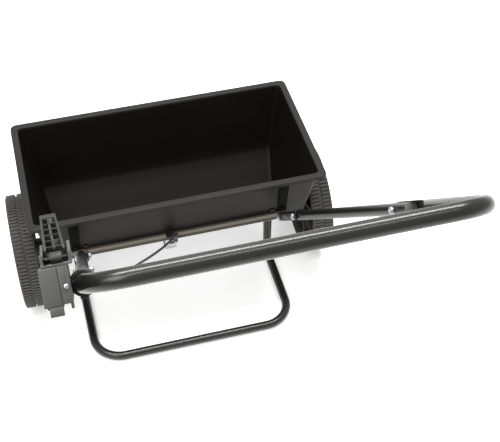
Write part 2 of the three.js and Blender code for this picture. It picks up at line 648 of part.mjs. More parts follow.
const BOX_S0 = -12;
const BOX_S1 = 102;
const BOX_N0 = -15;
const BOX_N1 = 25;
const BOX_IN = -(GRIP_R + 1.6);
const BOX_SPLIT = BOX_IN - 11;
const BOX_OUT = BOX_IN - 30;
const LEVER_L = BOX_SPLIT + 1;
const SLOT_L0 = LEVER_L - 14.2;
const SLOT_L1 = LEVER_L + 12.5;
const PIVOT = [25, 33];
const tubeSpace = rod(C.at(-60), C.at(160), GRIP_R + FIT, 24);
const heelSpace = ctrlBox(SLOT_L0, SLOT_L1, PIVOT[0] - 13, PIVOT[0] + 22, 17, 60);
{
  const outerShell = ctrlBox(BOX_OUT, BOX_SPLIT - FIT, BOX_S0, BOX_S1, BOX_N0, BOX_N1);
  const rails = join(
    ctrlBox(BOX_OUT + 1, BOX_OUT + 4.5, 35, 95, BOX_N0 - 5.5, BOX_N0 + 1),
    ctrlBox(BOX_OUT + 3, BOX_OUT + 6, 35, 95, BOX_N0 - 5.5, BOX_N0 - 3.6),
  );
  add('control_shell_outer', cut(join(outerShell, rails), heelSpace), PLASTIC_GREY);
  const innerShell = ctrlBox(BOX_SPLIT, BOX_IN, BOX_S0 + 1.5, BOX_S1 - 1, BOX_N0 + 1, BOX_N1);
  const screwHole = holeAt(ctrlPoint(BOX_IN - 4.4, BOX_S0, 4), C.down, 12, 1.9);
  const hook = ctrlBox(BOX_IN - 3, BOX_IN, BOX_S0 + 2, BOX_S0 + 22, BOX_N0 - 4.5, BOX_N0 + 2);
  add('control_shell_inner', cut(join(innerShell, hook), heelSpace, tubeSpace, screwHole),
    PLASTIC_GREY);
  const screwSeat = ctrlPoint(BOX_IN - 4.4, BOX_S0 + 1.5 - FIT, 4);
  add('control_screw', turned([
    [0, -2], [2.4, -1.6], [3.2, 0], [1.6, 0], [1.6, 8], [0, 8],
  ], screwSeat, C.down, 12), ZINC);
}
{
  // Raised surround the lever works in, with an open slot.
  const l0 = SLOT_L0 - 3;
  const l1 = SLOT_L1 + 3;
  const floor = BOX_N1 + FIT;
  const side = new THREE.Shape([[8, floor], [104, floor], [104, 46], [96, 48.5], [8, 27]]
    .map(([s, n]) => new THREE.Vector2(s, n * CTRL_N)));
  const g = new THREE.ExtrudeGeometry(side, { depth: l1 - l0, bevelEnabled: false });
  const turn = new THREE.Matrix4().makeBasis(Y, Z, X);
  turn.setPosition(l0, 0, 0);
  g.applyMatrix4(turn);
  g.applyMatrix4(control);
  const hollow = ctrlBox(SLOT_L0, SLOT_L1, 11, 100, 0, 80);
  const pinHole = rod(ctrlPoint(l0 - 5, ...PIVOT), ctrlPoint(l1 + 5, ...PIVOT), 2.8, 12);
  const ears = join(
    ctrlBox(l0, SLOT_L0, PIVOT[0] - 8, PIVOT[0] + 8, floor, PIVOT[1] + 6),
    ctrlBox(SLOT_L1, l1, PIVOT[0] - 8, PIVOT[0] + 8, floor, PIVOT[1] + 6),
  );
  add('control_surround', cut(join(cut(solid(g), hollow), ears), pinHole, tubeSpace), PLASTIC_GREY);
  add('lever_pin', rod(ctrlPoint(l0 - 0.5, ...PIVOT), ctrlPoint(l1 + 0.5, ...PIVOT),
    2.5, 16), ZINC);
}

{
  // Lever: tapered channel with cross ribs, hinged on the pin.
  const tip = THREE.MathUtils.degToRad(LEVER_PITCH);
  const own = control.clone()
    .multiply(new THREE.Matrix4().makeTranslation(LEVER_L, PIVOT[0],
      CTRL_N * PIVOT[1]))
    .multiply(new THREE.Matrix4().makeRotationX(CTRL_N * tip));
  const place = (g) => solid(g.applyMatrix4(own));
  const half0 = 11.2;
  const half1 = 9.6;
  const lean = (y) => -LEVER_LEAN * y;
  const strip = (a, b, w0, w1, n0, n1) => {
    const shape = new THREE.Shape([[-w0, a], [w0, a], [w1, b], [-w1, b]]
      .map(([x, y]) => new THREE.Vector2(x + lean(y), y)));
    const g = new THREE.ExtrudeGeometry(shape, { depth: n1 - n0, bevelEnabled: false });
    g.translate(0, 0, CTRL_N > 0 ? n0 : -n1);
    return place(g);
  };
  const block = (x0, x1, y0, y1, n0, n1) => {
    const g = new THREE.BoxGeometry(x1 - x0, y1 - y0, n1 - n0);
    g.translate((x0 + x1) / 2 + lean((y0 + y1) / 2), (y0 + y1) / 2, CTRL_N * (n0 + n1) / 2);
    return place(g);
  };
  const width = (y) => half0 + (half1 - half0) * y / LEVER_LENGTH;
  let lever = strip(13, LEVER_LENGTH, half0, half1, -4, 0);
  for (const side of [-1, 1]) {
    const shape = new THREE.Shape([
      [side * half0, 13], [side * half1, LEVER_LENGTH],
      [side * (half1 - 2.6), LEVER_LENGTH], [side * (half0 - 2.6), 13],
    ].map(([x, y]) => new THREE.Vector2(x + lean(y), y)));
    const g = new THREE.ExtrudeGeometry(shape, { depth: 7, bevelEnabled: false });
    g.translate(0, 0, CTRL_N > 0 ? -0.5 : -6.5);
    lever = join(lever, place(g));
  }
  lever = join(lever, strip(20, LEVER_LENGTH - 1, 1.4, 1.4, -0.5, 5.6));
  lever = join(lever, strip(LEVER_LENGTH - 17, LEVER_LENGTH, half1, half1, -0.5, 6.5));
  for (let i = 0; i < LEVER_RIBS; i += 1) {
    const y = 27 + i * (LEVER_LENGTH - 45) / (LEVER_RIBS - 1);
    lever = join(lever, block(-width(y) + 1, width(y) - 1, y - 1.3, y + 1.3, -0.5, 6));
  }
  lever = join(lever, strip(4, 14, 6, 6, -4, 0));
  const heel = new THREE.CylinderGeometry(7, 7, 12, 20);
  heel.rotateZ(Math.PI / 2);
  lever = join(lever, place(heel));
  const bore = new THREE.CylinderGeometry(2.8, 2.8, 60, 16);
  bore.rotateZ(Math.PI / 2);
  add('control_lever', cut(lever, place(bore)), PLASTIC_GREY);
}
{
  // Clamp round the leg, beside the box.
  const ring = cut(
    rod(C.at(58), C.at(96), GRIP_R + 4, 24),
    rod(C.at(50), C.at(110), GRIP_R + FIT, 24),
  );
  const ear = cut(
    ctrlBox(-6, 3, 58, 76, -GRIP_R - 6, -GRIP_R - 1.5),
    rod(C.at(50), C.at(110), GRIP_R + 2, 24),
  );
  const clear = ctrlBox(BOX_OUT, BOX_IN + FIT, 50, 110, -40, 60);
  const slotClear = ctrlBox(SLOT_L0 - 4, SLOT_L1 + 4, 50, 110, BOX_N1 - 12, 60);
  add('control_clamp', cut(join(ring, ear), clear, slotClear), PLASTIC_DARK);
}
{
  // Rate stop: a strip sliding under the box, with a turned-down finger tab.
  const l0 = BOX_OUT + 4.8;
  const strip = ctrlBox(l0, l0 + 14.5, BOX_S0 - 2, 60, BOX_N0 - 3.2, BOX_N0 - FIT);
  const tab = ctrlBox(l0, l0 + 14.5, BOX_S0 - 2, BOX_S0 + 1, BOX_N0 - 10, BOX_N0 - 1);
  add('rate_stop', join(strip, tab), PLASTIC_GREY);
}

// ---------------------------------------------------------------- cable and its fittings
const ANCHOR = V(TAB_X, -92, 40);
const WIRE_DIR = V(TAB_X, TAB_Y, 1).sub(ANCHOR).normalize();
const BORE_DEPTH = 16;
{
  const start = ctrlPoint(BOX_SPLIT - 4, BOX_S1 + FIT, 0);
  const clip = V(-14, -152, 119);
  const route = [
    start,
    ctrlPoint(BOX_SPLIT - 4, BOX_S1 + 22, -3),
    ctrlPoint(-13, 230, -17.3), ctrlPoint(12, 329, -20.3),
    V(-172, -587, 529), V(-128, -487, 434),
    V(-79, -369, 325), V(-40, -262, 229), V(-20, -186, 157), clip,
    V(-12, -150, 100), ANCHOR.clone().addScaledVector(WIRE_DIR, -40),
    ANCHOR.clone().addScaledVector(WIRE_DIR, -20), ANCHOR,
  ];
  const curve = new THREE.CatmullRomCurve3(route, false, 'centripetal');
  const points = curve.getSpacedPoints(72);
  const wireBore = rod(
    ANCHOR.clone().addScaledVector(WIRE_DIR, -BORE_DEPTH),
    ANCHOR.clone().addScaledVector(WIRE_DIR, 5),
    1.3,
    8,
  );
  add('control_cable', cut(bar(points, CABLE_DIA / 2, 4), wireBore), RUBBER_BLACK);

  // Clip that holds the cable to the cross rail.
  const n = points.length;
  let near = 0;
  for (let i = 1; i < n; i += 1) {
    if (points[i].distanceTo(clip) < points[near].distanceTo(clip)) {
      near = i;
    }
  }
  const tangent = points[near + 1].clone().sub(points[near - 1]).normalize();
  const mid = points[near];
  const half = 3.5;
  const collar = rod(
    mid.clone().addScaledVector(tangent, -half),
    mid.clone().addScaledVector(tangent, half),
    CABLE_DIA / 2 + 3,
    16,
  );
  const space = bar(points.slice(near - 3, near + 4), CABLE_DIA / 2 + FIT, 6);
  const foot = box(-34, mid.x - 2.6, RAIL_FRONT - 16, RAIL_FRONT, RAIL_Z1 + FIT, RAIL_Z1 + 2.3);
  const neck = box(mid.x - 8, mid.x - 2.8, RAIL_FRONT - 16, mid.y + 2, RAIL_Z1 + FIT, mid.z + 1);
  add('cable_clip', cut(join(collar, foot, neck), space), ZINC);

  // Anchor that the outer casing ends in, fixed under the sloping rear wall.
  const out = WIRE_DIR;
  const seat = ANCHOR.clone().addScaledVector(out, FIT + 0.2);
  const disc = rod(seat, seat.clone().addScaledVector(out, 4), 6, 16);
  const height = seat.clone().sub(onFunnel(TAB_X, 0, 0)).dot(FUNNEL_OUT);
  const padMid = seat.clone().addScaledVector(FUNNEL_OUT, FIT + 1.3 - height);
  const pad = new THREE.BoxGeometry(24, 30, 2.5);
  const basis = new THREE.Matrix4().makeBasis(X, FUNNEL_UP, X.clone().cross(FUNNEL_UP));
  basis.setPosition(padMid);
  pad.applyMatrix4(basis);
  const web = rod(seat.clone().addScaledVector(out, 3), padMid, 2.6, 12);
  const through = rod(seat.clone().addScaledVector(out, -9), seat.clone().addScaledVector(out, 9),
    1.6, 10);
  add('cable_anchor', cut(join(disc, solid(pad), web), through), ZINC);

  // Inner wire from the anchor to the shutter's tab, with a barrel at its end.
  const reach = (TAB_Y + 4 - seat.y) / out.y;
  const barrelAt = seat.clone().addScaledVector(out, reach);
  const wire = rod(ANCHOR.clone().addScaledVector(out, -2), barrelAt, 0.9, 8);
  const barrel = rod(V(TAB_X - 5, barrelAt.y, barrelAt.z), V(TAB_X + 5, barrelAt.y, barrelAt.z),
    2.4, 12);
  add('shutter_wire', join(wire, barrel), ZINC);
}

// ---------------------------------------------------------------- move to the bottom centre
const whole = new THREE.Box3().setFromObject(group);
const shift = V(0, -(whole.min.y + whole.max.y) / 2, -whole.min.z);
for (const mesh of group.children) {
  mesh.geometry.translate(shift.x, shift.y, shift.z);
}

export default group;
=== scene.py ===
"""Looks of the walk-behind drop spreader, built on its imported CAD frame.

Metres, +X to the operator's right, +Y forward, +Z up, origin at the bottom centre.
"""
import json
import math

import bmesh
import bpy
from mathutils import Matrix, Quaternion, Vector


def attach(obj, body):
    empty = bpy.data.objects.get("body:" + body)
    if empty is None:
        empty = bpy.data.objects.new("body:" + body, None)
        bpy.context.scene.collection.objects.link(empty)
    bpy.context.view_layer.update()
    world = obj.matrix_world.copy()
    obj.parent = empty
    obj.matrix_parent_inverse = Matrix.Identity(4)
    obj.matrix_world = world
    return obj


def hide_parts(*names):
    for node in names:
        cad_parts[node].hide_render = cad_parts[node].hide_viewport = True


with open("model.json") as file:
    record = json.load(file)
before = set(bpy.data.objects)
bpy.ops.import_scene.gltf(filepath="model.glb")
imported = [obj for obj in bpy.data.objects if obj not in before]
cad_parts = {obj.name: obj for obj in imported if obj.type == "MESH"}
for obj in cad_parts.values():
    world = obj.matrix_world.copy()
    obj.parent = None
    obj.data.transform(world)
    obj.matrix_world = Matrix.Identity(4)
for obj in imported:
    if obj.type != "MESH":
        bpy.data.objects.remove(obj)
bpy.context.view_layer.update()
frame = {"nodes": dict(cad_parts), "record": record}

# ------------------------------------------------------------------ sizes (metres)
# The axle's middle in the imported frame. Every other place is given from it.
AXLE = Vector((0, 0.38982, 0.127))

# Wheels: radius, tread width, and the x of the tread's inner edge.
WHEEL_R, WHEEL_W, WHEEL_INNER = 0.127, 0.047, 0.3035
HUB_R = 0.022
HUB_BORE = 0.0067
WEB = 0.005
RIBS = 8
LUGS, LUG_WIDTH, LUG_HEIGHT = 96, 0.0046, 0.0036

# Hopper: half length, rear and front edges and height of the rim.
RIM_HALF, RIM_REAR, RIM_FRONT, RIM_Z = 0.310, -0.168, 0.160, 0.228
FLANGE, LIP, WALL, DRAFT = 0.012, 0.009, 0.003, 0.175
SLOPE_WALL = 0.0041
# Both long walls turn inwards at a crease and slope down to the floor.
REAR_CREASE_Z, FRONT_CREASE_Z, FLOOR_Z = 0.108, 0.068, -0.019
FLOOR_REAR, FLOOR_FRONT = -0.020, 0.032
OUTER_CORNER, INNER_CORNER, RIM_CORNER = 0.012, 0.009, 0.014
DROP_COUNT, DROP_PITCH, DROP_LENGTH = 17, 0.028, 0.014
LUG_X, LUG_Z = 0.200, 0.121

# Tubes: lower handle and stand, then the upper handle.
TUBE_R, TUBE_WALL = 0.0095, 0.0014
GRIP_R, GRIP_BORE = 0.0111, 0.0099
# Each leg runs straight from the grip's corner to the knee, where the brackets are.
GRIP_TOP = Vector((0.2345, -0.9123, 0.8947))
KNEE = Vector((0.2159, -0.2563, 0.2225))
LOWER_PAST_KNEE = 0.128
# Distances down the leg: the joint bolt, the scooped saddle and the lower tube's top.
JOINT_S = 0.337
SADDLE_ABOVE, SADDLE_BELOW = 0.127, 0.010
LOWER_TOP_S = JOINT_S - 0.047

# Stand: half width, the y of its feet and of its rear bar.
STAND_HALF, STAND_FRONT, STAND_REAR = 0.2188, -0.039, -0.2519

CASING_R, CASING_WALL = 0.0023, 0.0010
FERRULE_R, FERRULE_LENGTH = 0.0032, 0.012

BOLT_R = 0.003
THREAD_PITCH, THREAD_DEPTH, THREAD_LENGTH = 0.001, 0.00045, 0.011
NUT_HALF_FLAT, NUT_BORE, NUT_STEPS = 0.0053, 0.0032, 48


# ------------------------------------------------------------------ colour and materials
def linear(code):
    """sRGB hex string to a linear RGBA tuple."""
    out = []
    for i in (0, 2, 4):
        c = int(code[i:i + 2], 16) / 255
        out.append(c / 12.92 if c <= 0.04045 else ((c + 0.055) / 1.055) ** 2.4)
    return (*out, 1.0)


def node(tree, kind, settings=None, **inputs):
    """Adds one node. Inputs are values or (node, output name) pairs to link from.

    An input is named as its socket is, or i0, i1 by its number.
    """
    made = tree.nodes.new(kind)
    for key, value in (settings or {}).items():
        setattr(made, key, value)
    for key, value in inputs.items():
        by_number = key[0] == "i" and key[1:].isdigit()
        socket = made.inputs[int(key[1:]) if by_number else key.replace("_", " ")]
        if isinstance(value, tuple) and len(value) == 2 and hasattr(value[0], "outputs"):
            tree.links.new(value[0].outputs[value[1]], socket)
        else:
            socket.default_value = value
    return made


# Height over which a painted highlight along the top fades in.
TOP_HIGHLIGHT_FADE = 0.003


def surface(name, base, other, patches, rough, vary, metallic=0.0, grain=0.0004,
            grain_depth=0.00003, wave=None, specular=0.5, top_highlight=None):
    """A material whose colour drifts between base and other, with a fine grain.

    patches is how many patches of colour come in a metre, and vary how far the roughness
    drifts with them. grain is the spacing of the moulded or sprayed texture in metres.
    wave is (spacing, depth) of a slow ripple in the surface. The last argument, (colour, height),
    paints a highlight: above that height the colour turns to the paler one.
    """
    made = bpy.data.materials.new(name)
    made.use_nodes = True
    tree = made.node_tree
    tree.nodes.clear()
    place = node(tree, "ShaderNodeTexCoord")
    where = (place, "Object")
    drift = node(tree, "ShaderNodeTexNoise", Vector=where, Scale=patches, Detail=4.0)
    tint = node(tree, "ShaderNodeMix", {"data_type": "RGBA"}, Factor=(drift, "Fac"))
    tint.inputs[6].default_value = linear(base)
    tint.inputs[7].default_value = linear(other)
    spread = node(tree, "ShaderNodeMapRange", Value=(drift, "Fac"))
    spread.inputs["To Min"].default_value = rough - vary
    spread.inputs["To Max"].default_value = rough + vary
    fine = node(tree, "ShaderNodeTexNoise", Vector=where, Scale=1 / grain, Detail=2.0)
    height = (fine, "Fac")
    if wave:
        soft = node(tree, "ShaderNodeTexNoise", Vector=where, Scale=1 / wave[0], Detail=1.0)
        scaled = node(tree, "ShaderNodeMath", {"operation": "MULTIPLY"}, i0=(soft, "Fac"))
        scaled.inputs[1].default_value = wave[1] / grain_depth
        total = node(tree, "ShaderNodeMath", {"operation": "ADD"},
                     i0=(scaled, "Value"), i1=(fine, "Fac"))
        height = (total, "Value")
    bump = node(tree, "ShaderNodeBump", Height=height, Distance=grain_depth, Strength=1.0)
    shader = node(tree, "ShaderNodeBsdfPrincipled", Roughness=(spread, "Result"),
                  Normal=(bump, "Normal"), Metallic=metallic)
    colour = tint.outputs[2]
    # Painted highlight: above the given height the colour is mixed to the paler one.
    if top_highlight:
        apart = node(tree, "ShaderNodeSeparateXYZ", Vector=where)
        above = node(tree, "ShaderNodeMapRange", Value=(apart, "Z"))
        above.inputs["From Min"].default_value = top_highlight[1] - TOP_HIGHLIGHT_FADE
        above.inputs["From Max"].default_value = top_highlight[1] + TOP_HIGHLIGHT_FADE
        highlit = node(tree, "ShaderNodeMix", {"data_type": "RGBA"}, Factor=(above, "Result"))
        tree.links.new(colour, highlit.inputs[6])
        highlit.inputs[7].default_value = linear(top_highlight[0])
        colour = highlit.outputs[2]
    tree.links.new(colour, shader.inputs["Base Color"])
    shader.inputs["Specular IOR Level"].default_value = specular
    node(tree, "ShaderNodeOutputMaterial", Surface=(shader, "BSDF"))
    return made


# Moulded black, matt, with a brown cast painted in as the reflection of a brown floor; the top of
# its rim is painted paler grey as a highlight.
HOPPER = surface("moulded_black_polypropylene", "0b0907", "100d0a", patches=14, rough=0.5,
                 vary=0.05, grain=0.0009, grain_depth=0.00003, specular=0.16,
                 top_highlight=("272624", AXLE.z + RIM_Z - 0.004))
# Moulded and dusty: a warm dark grey with hardly any shine.
WHEEL = surface("moulded_charcoal_polyethylene", "3b3935", "45423d", patches=30, rough=0.6,
                vary=0.06, grain=0.0008, grain_depth=0.00004, specular=0.35)
# Mid grey with a fine moulded texture that keeps it satin.
CONTROL = surface("moulded_grey_abs", "3e3f3d", "454643", patches=40, rough=0.5, vary=0.05,
                  grain=0.0005, grain_depth=0.00002, specular=0.4)
# The same texture in a darker grey, so the lever stands out from its box.
LEVER = surface("moulded_dark_grey_abs", "1a1b19", "232421", patches=60, rough=0.5, vary=0.05,
                grain=0.0005, grain_depth=0.00003, specular=0.4)
# Nylon, a little smoother than the box it holds.
CLAMP = surface("moulded_dark_nylon", "201f1e", "282826", patches=40, rough=0.45, vary=0.05,
                grain=0.0005, specular=0.35)
# Sprayed and baked: broad highlights with the slow ripple of orange peel in them.
PAINT = surface("gloss_black_powder_coat", "161614", "1d1d1b", patches=9, rough=0.27,
                vary=0.03, grain=0.0011, grain_depth=0.000012, wave=(0.006, 0.00003))
# The same black powder coat, painted blacker on the lower tubes and their brackets as shade, with a
# weaker shine.
SHADED_LOWER_PAINT = surface("black_powder_coat_painted_shade", "0a0a09", "0e0e0c", patches=9, rough=0.3,
                      vary=0.04, grain=0.0011, grain_depth=0.000012, specular=0.2)
# Flat black, almost without shine, so the straps read as dark bands on the wall.
STRAP = surface("flat_black_powder_coat", "090908", "0d0d0c", patches=9, rough=0.55, vary=0.05,
                grain=0.0011, grain_depth=0.000012, specular=0.02)
# Satin black paint, its colour painted a pale brownish grey as the light and reflection that its
# top catches from above.
RAIL = surface("black_steel_painted_reflection", "565148", "605a50", patches=12, rough=0.45,
               vary=0.06, grain=0.0009, grain_depth=0.00002)
# Electroplated and bright, with small sharp glints.
ZINC = surface("bright_zinc_plate", "c2c5c8", "aeb2b6", patches=120, rough=0.28, vary=0.08,
               metallic=1.0, grain=0.0003, grain_depth=0.000015)
# A dark metal with a soft shine in place of bright zinc: on the lever pin it is painted shade for
# the dark slot that the pin sits in. The axle has it too.
DARK_STEEL = surface("dark_steel_painted_shade", "34312d", "2a2825", patches=90, rough=0.42, vary=0.06,
               metallic=1.0, grain=0.0004, grain_depth=0.00001)
# Extruded casing, black with a faint shine along its length.
CABLE = surface("extruded_black_vinyl", "0c0c0c", "131312", patches=50, rough=0.4, vary=0.05)
# Dull greys of the parts inside and under the hopper.
AGITATOR = surface("moulded_charcoal_nylon", "4b4b4b", "555555", patches=60, rough=0.5,
                   vary=0.05)
BEARING = surface("moulded_grey_acetal", "7a7a78", "828280", patches=60, rough=0.4, vary=0.05)
PLUG = surface("moulded_grey_polyethylene", "4a4a49", "525250", patches=60, rough=0.5,
               vary=0.05)

SLOT_MATERIAL = {
    "hopper_poly": HOPPER, "guide_steel": PAINT, "frame_steel": PAINT, "zinc_steel": ZINC,
    "wheel_poly": WHEEL, "control_poly": CONTROL, "clamp_poly": CLAMP, "cable_cover": CABLE,
    "agitator_poly": AGITATOR, "bearing_poly": BEARING,
}
# Nodes whose finish differs from the rest of their slot.
OWN_MATERIAL = {
    "cross_rail": RAIL, "tube_plug_left": PLUG, "tube_plug_right": PLUG, "control_lever": LEVER,
    "strap_left": STRAP, "strap_right": STRAP, "strap_bolt_left": STRAP,
    "strap_bolt_right": STRAP, "spacer_left": CLAMP, "spacer_right": CLAMP,
    "cable_anchor": STRAP, "cable_clip": CLAMP, "lever_pin": DARK_STEEL, "axle": DARK_STEEL,
    "lower_tube_left": SHADED_LOWER_PAINT, "lower_tube_right": SHADED_LOWER_PAINT,
    "tube_bracket_left": SHADED_LOWER_PAINT, "tube_bracket_right": SHADED_LOWER_PAINT,
}
SLOT_OF = {s["node"]: s["material_slot"] for s in frame["record"]["subparts"]}
BODY_OF = {n: b for b, nodes in frame["record"]["behaviour"]["bodies"].items() for n in nodes}
for cad_name, cad_object in frame["nodes"].items():
    cad_object.data.materials.clear()
    cad_object.data.materials.append(SLOT_MATERIAL[SLOT_OF[cad_name]])


# ------------------------------------------------------------------ building helpers
def from_bmesh(name, bm, sharp=32):
    """An object from a bmesh, shaded smooth with edges sharper than the angle kept crisp."""
    bmesh.ops.recalc_face_normals(bm, faces=bm.faces)
    limit = math.radians(sharp)
    for face in bm.faces:
        face.smooth = True
    for edge in bm.edges:
        edge.smooth = len(edge.link_faces) != 2 or edge.calc_face_angle(0) < limit
    mesh = bpy.data.meshes.new(name)
    bm.to_mesh(mesh)
    bm.free()
    made = bpy.data.objects.new(name, mesh)
    bpy.context.scene.collection.objects.link(made)
    return made


def applied(obj):
    """Bakes the object's modifiers into its mesh."""
    graph = bpy.context.evaluated_depsgraph_get()
    baked = bpy.data.meshes.new_from_object(obj.evaluated_get(graph))
    obj.modifiers.clear()
    obj.data = baked
    return obj


def settle(obj, *nodes):
    """Gives a finished piece its material, body and slot, standing for the CAD nodes named."""
    slot_name = SLOT_OF[nodes[0]]
    obj.data.materials.clear()
    obj.data.materials.append(OWN_MATERIAL.get(nodes[0], SLOT_MATERIAL[slot_name]))
    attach(obj, BODY_OF[nodes[0]])
    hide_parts(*nodes)
    return obj


def extra(obj, body, material):
    """Gives a piece that stands for no CAD node its material, body and slot."""
    obj.data.materials.clear()
    obj.data.materials.append(material)
    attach(obj, body)
    return obj


def softened(name, width, segments=2, sharp=32):
    """The CAD node with its flat faces merged and its edges rounded by width."""
    bm = bmesh.new()
    bm.from_mesh(frame["nodes"][name].data)
    bmesh.ops.remove_doubles(bm, verts=bm.verts, dist=2e-6)
    bmesh.ops.dissolve_limit(bm, angle_limit=math.radians(0.6), verts=bm.verts, edges=bm.edges)
    made = from_bmesh("v_" + name, bm)
    bevel = made.modifiers.new("round", "BEVEL")
    bevel.width = width
    bevel.segments = segments
    bevel.limit_method = "ANGLE"
    bevel.angle_limit = math.radians(sharp)
    bevel.use_clamp_overlap = True
    applied(made)
    bm = bmesh.new()
    bm.from_mesh(made.data)
    bpy.data.objects.remove(made)
    return settle(from_bmesh("v_" + name, bm), name)


def ring_faces(bm, rings):
    """Joins each closed ring of points to the next with a band of faces."""
    count = len(rings[0])
    for a, b in zip(rings, rings[1:]):
        for i in range(count):
            j = (i + 1) % count
            bm.faces.new((a[i], a[j], b[j], b[i]))


def frame_at(direction):
    """A rotation taking +Z to the direction."""
    return Vector((0, 0, 1)).rotation_difference(direction.normalized())


def lathe_into(bm, profile, origin, direction, sides=32):
    """Turns (radius, height) pairs about an axis; ends on the axis are closed with a fan."""
    turn = frame_at(direction)
    rings = []
    for r, h in profile:
        if r < 1e-7:
            rings.append([bm.verts.new(origin + turn @ Vector((0, 0, h)))])
            continue
        rings.append([
            bm.verts.new(origin + turn @ Vector((r * math.cos(t), r * math.sin(t), h)))
            for t in (2 * math.pi * k / sides for k in range(sides))
        ])
    for a, b in zip(rings, rings[1:]):
        for i in range(sides):
            j = (i + 1) % sides
            if len(a) == 1:
                bm.faces.new((a[0], b[j], b[i]))
            elif len(b) == 1:
                bm.faces.new((a[i], a[j], b[0]))
            else:
                bm.faces.new((a[i], a[j], b[j], b[i]))
    return rings


def closed_lathe_into(bm, profile, origin, direction, sides=32):
    """Turns a closed loop of (radius, height) pairs, none of them on the axis."""
    rings = lathe_into(bm, profile, origin, direction, sides)
    for i in range(sides):
        j = (i + 1) % sides
        bm.faces.new((rings[-1][i], rings[-1][j], rings[0][j], rings[0][i]))


def arc_corner(points, radii, steps=14):
    """Polyline with each inner corner replaced by an arc."""
    out = [points[0].copy()]
    for i in range(1, len(points) - 1):
        a = (points[i - 1] - points[i]).normalized()
        b = (points[i + 1] - points[i]).normalized()
        half = a.angle(b) / 2
        r = radii[i - 1]
        centre = points[i] + (a + b).normalized() * (r / math.sin(half))
        start = points[i] + a * (r / math.tan(half))
        end = points[i] + b * (r / math.tan(half))
        axis = (start - centre).cross(end - centre).normalized()
        for k in range(steps + 1):
            turn = Quaternion(axis, (math.pi - 2 * half) * k / steps)
            out.append(centre + turn @ (start - centre))
    out.append(points[-1].copy())
    return out


def sweep_rings(bm, path, radius, sides):
    """Rings of a round section carried along a path without twisting."""
    rings = []
    normal = None
    for i, p in enumerate(path):
        before = (p - path[i - 1]).normalized() if i else Vector()
        after = (path[i + 1] - p).normalized() if i < len(path) - 1 else Vector()
        tangent = (before + after).normalized()
        if normal is None:
            normal = tangent.orthogonal().normalized()
        normal = (normal - tangent * normal.dot(tangent)).normalized()
        other = tangent.cross(normal)
        rings.append([
            bm.verts.new(p + normal * radius * math.cos(t) + other * radius * math.sin(t))
            for t in (2 * math.pi * k / sides for k in range(sides))
        ])
    return rings


def pipe_into(bm, path, radius, wall, sides=36):
    """A tube with open ends along a path."""
    outer = sweep_rings(bm, path, radius, sides)
    ring_faces(bm, outer)
    inner = sweep_rings(bm, path, radius - wall, sides)
    ring_faces(bm, inner)
    for end in (0, -1):
        for i in range(sides):
            j = (i + 1) % sides
            bm.faces.new((outer[end][i], outer[end][j], inner[end][j], inner[end][i]))


def cuboid(bm, low, high):
    """An axis-aligned block."""
    made = bmesh.ops.create_cube(bm, size=1.0)["verts"]
    size = [b - a for a, b in zip(low, high)]
    mid = [(a + b) / 2 for a, b in zip(low, high)]
    bmesh.ops.transform(bm, matrix=Matrix.LocRotScale(Vector(mid), None, Vector(size)), verts=made)
    return made


def boolean(obj, tool_bm, operation="DIFFERENCE"):
    """Joins or cuts obj with the solid in a bmesh."""
    tool = from_bmesh("tool", tool_bm)
    step = obj.modifiers.new("join", "BOOLEAN")
    step.operation = operation
    step.solver = "EXACT"
    step.object = tool
    applied(obj)
    bpy.data.objects.remove(tool)
    return obj


def resmooth(obj, sharp=32):
    """Shades an object again after a boolean, keeping crisp edges."""
    name = obj.name
    bm = bmesh.new()
    bm.from_mesh(obj.data)
    bmesh.ops.remove_doubles(bm, verts=bm.verts, dist=1e-6)
    bpy.data.objects.remove(obj)
    return from_bmesh(name, bm, sharp)


# ------------------------------------------------------------------ camera, first
camera_data = bpy.data.cameras.new("camera")
camera_data.lens = 75.024
camera_data.sensor_width = 36
camera = bpy.data.objects.new("camera", camera_data)
camera.location = (-0.24805, AXLE.y - 1.6284, 1.84740)
camera.rotation_euler = (math.radians(90 - 46.324), 0, math.radians(-14.983))
bpy.context.scene.collection.objects.link(camera)
bpy.context.scene.camera = camera


# ------------------------------------------------------------------ control cable, next
def rounded_route(points, count):
    """Centripetal Catmull-Rom curve through the points, at even spacing."""
    def tangent_pair(p0, p1, p2, p3):
        d = [max((b - a).length ** 0.5, 1e-4) for a, b in ((p0, p1), (p1, p2), (p2, p3))]
        t1 = ((p1 - p0) / d[0] - (p2 - p0) / (d[0] + d[1]) + (p2 - p1) / d[1]) * d[1]
        t2 = ((p2 - p1) / d[1] - (p3 - p1) / (d[1] + d[2]) + (p3 - p2) / d[2]) * d[1]
        return t1, t2
    fine = []
    last = len(points) - 1
    for i in range(last):
        p1, p2 = points[i], points[i + 1]
        p0 = points[i - 1] if i else p1 * 2 - p2
        p3 = points[i + 2] if i + 2 <= last else p2 * 2 - p1
        t1, t2 = tangent_pair(p0, p1, p2, p3)
        for k in range(40):
            t = k / 40
            c2 = (p2 - p1) * 3 - t1 * 2 - t2
            c3 = (p1 - p2) * 2 + t1 + t2
            fine.append(p1 + t1 * t + c2 * t * t + c3 * t ** 3)
    fine.append(points[-1].copy())
    lengths = [0.0]
    for a, b in zip(fine, fine[1:]):
        lengths.append(lengths[-1] + (b - a).length)
    out = []
    j = 0
    for k in range(count + 1):
        want = lengths[-1] * k / count
        while j < len(fine) - 2 and lengths[j + 1] < want:
            j += 1
        f = (want - lengths[j]) / max(lengths[j + 1] - lengths[j], 1e-9)
        out.append(fine[j].lerp(fine[j + 1], f))
    return out, lengths[-1]


LEFT_TOP = Vector((-GRIP_TOP.x, GRIP_TOP.y, GRIP_TOP.z))
LEG_DOWN = (Vector((-KNEE.x, KNEE.y, KNEE.z)) - LEFT_TOP).normalized()
LEG_UP = Vector((0, -LEG_DOWN.z, LEG_DOWN.y)).normalized()
LEG_ACROSS = LEG_DOWN.cross(LEG_UP).normalized()


def on_control(across, down, away):
    """A point in the control's own axes: across, down the leg, away from the leg."""
    return AXLE + LEFT_TOP + LEG_ACROSS * across + LEG_DOWN * down + LEG_UP * away


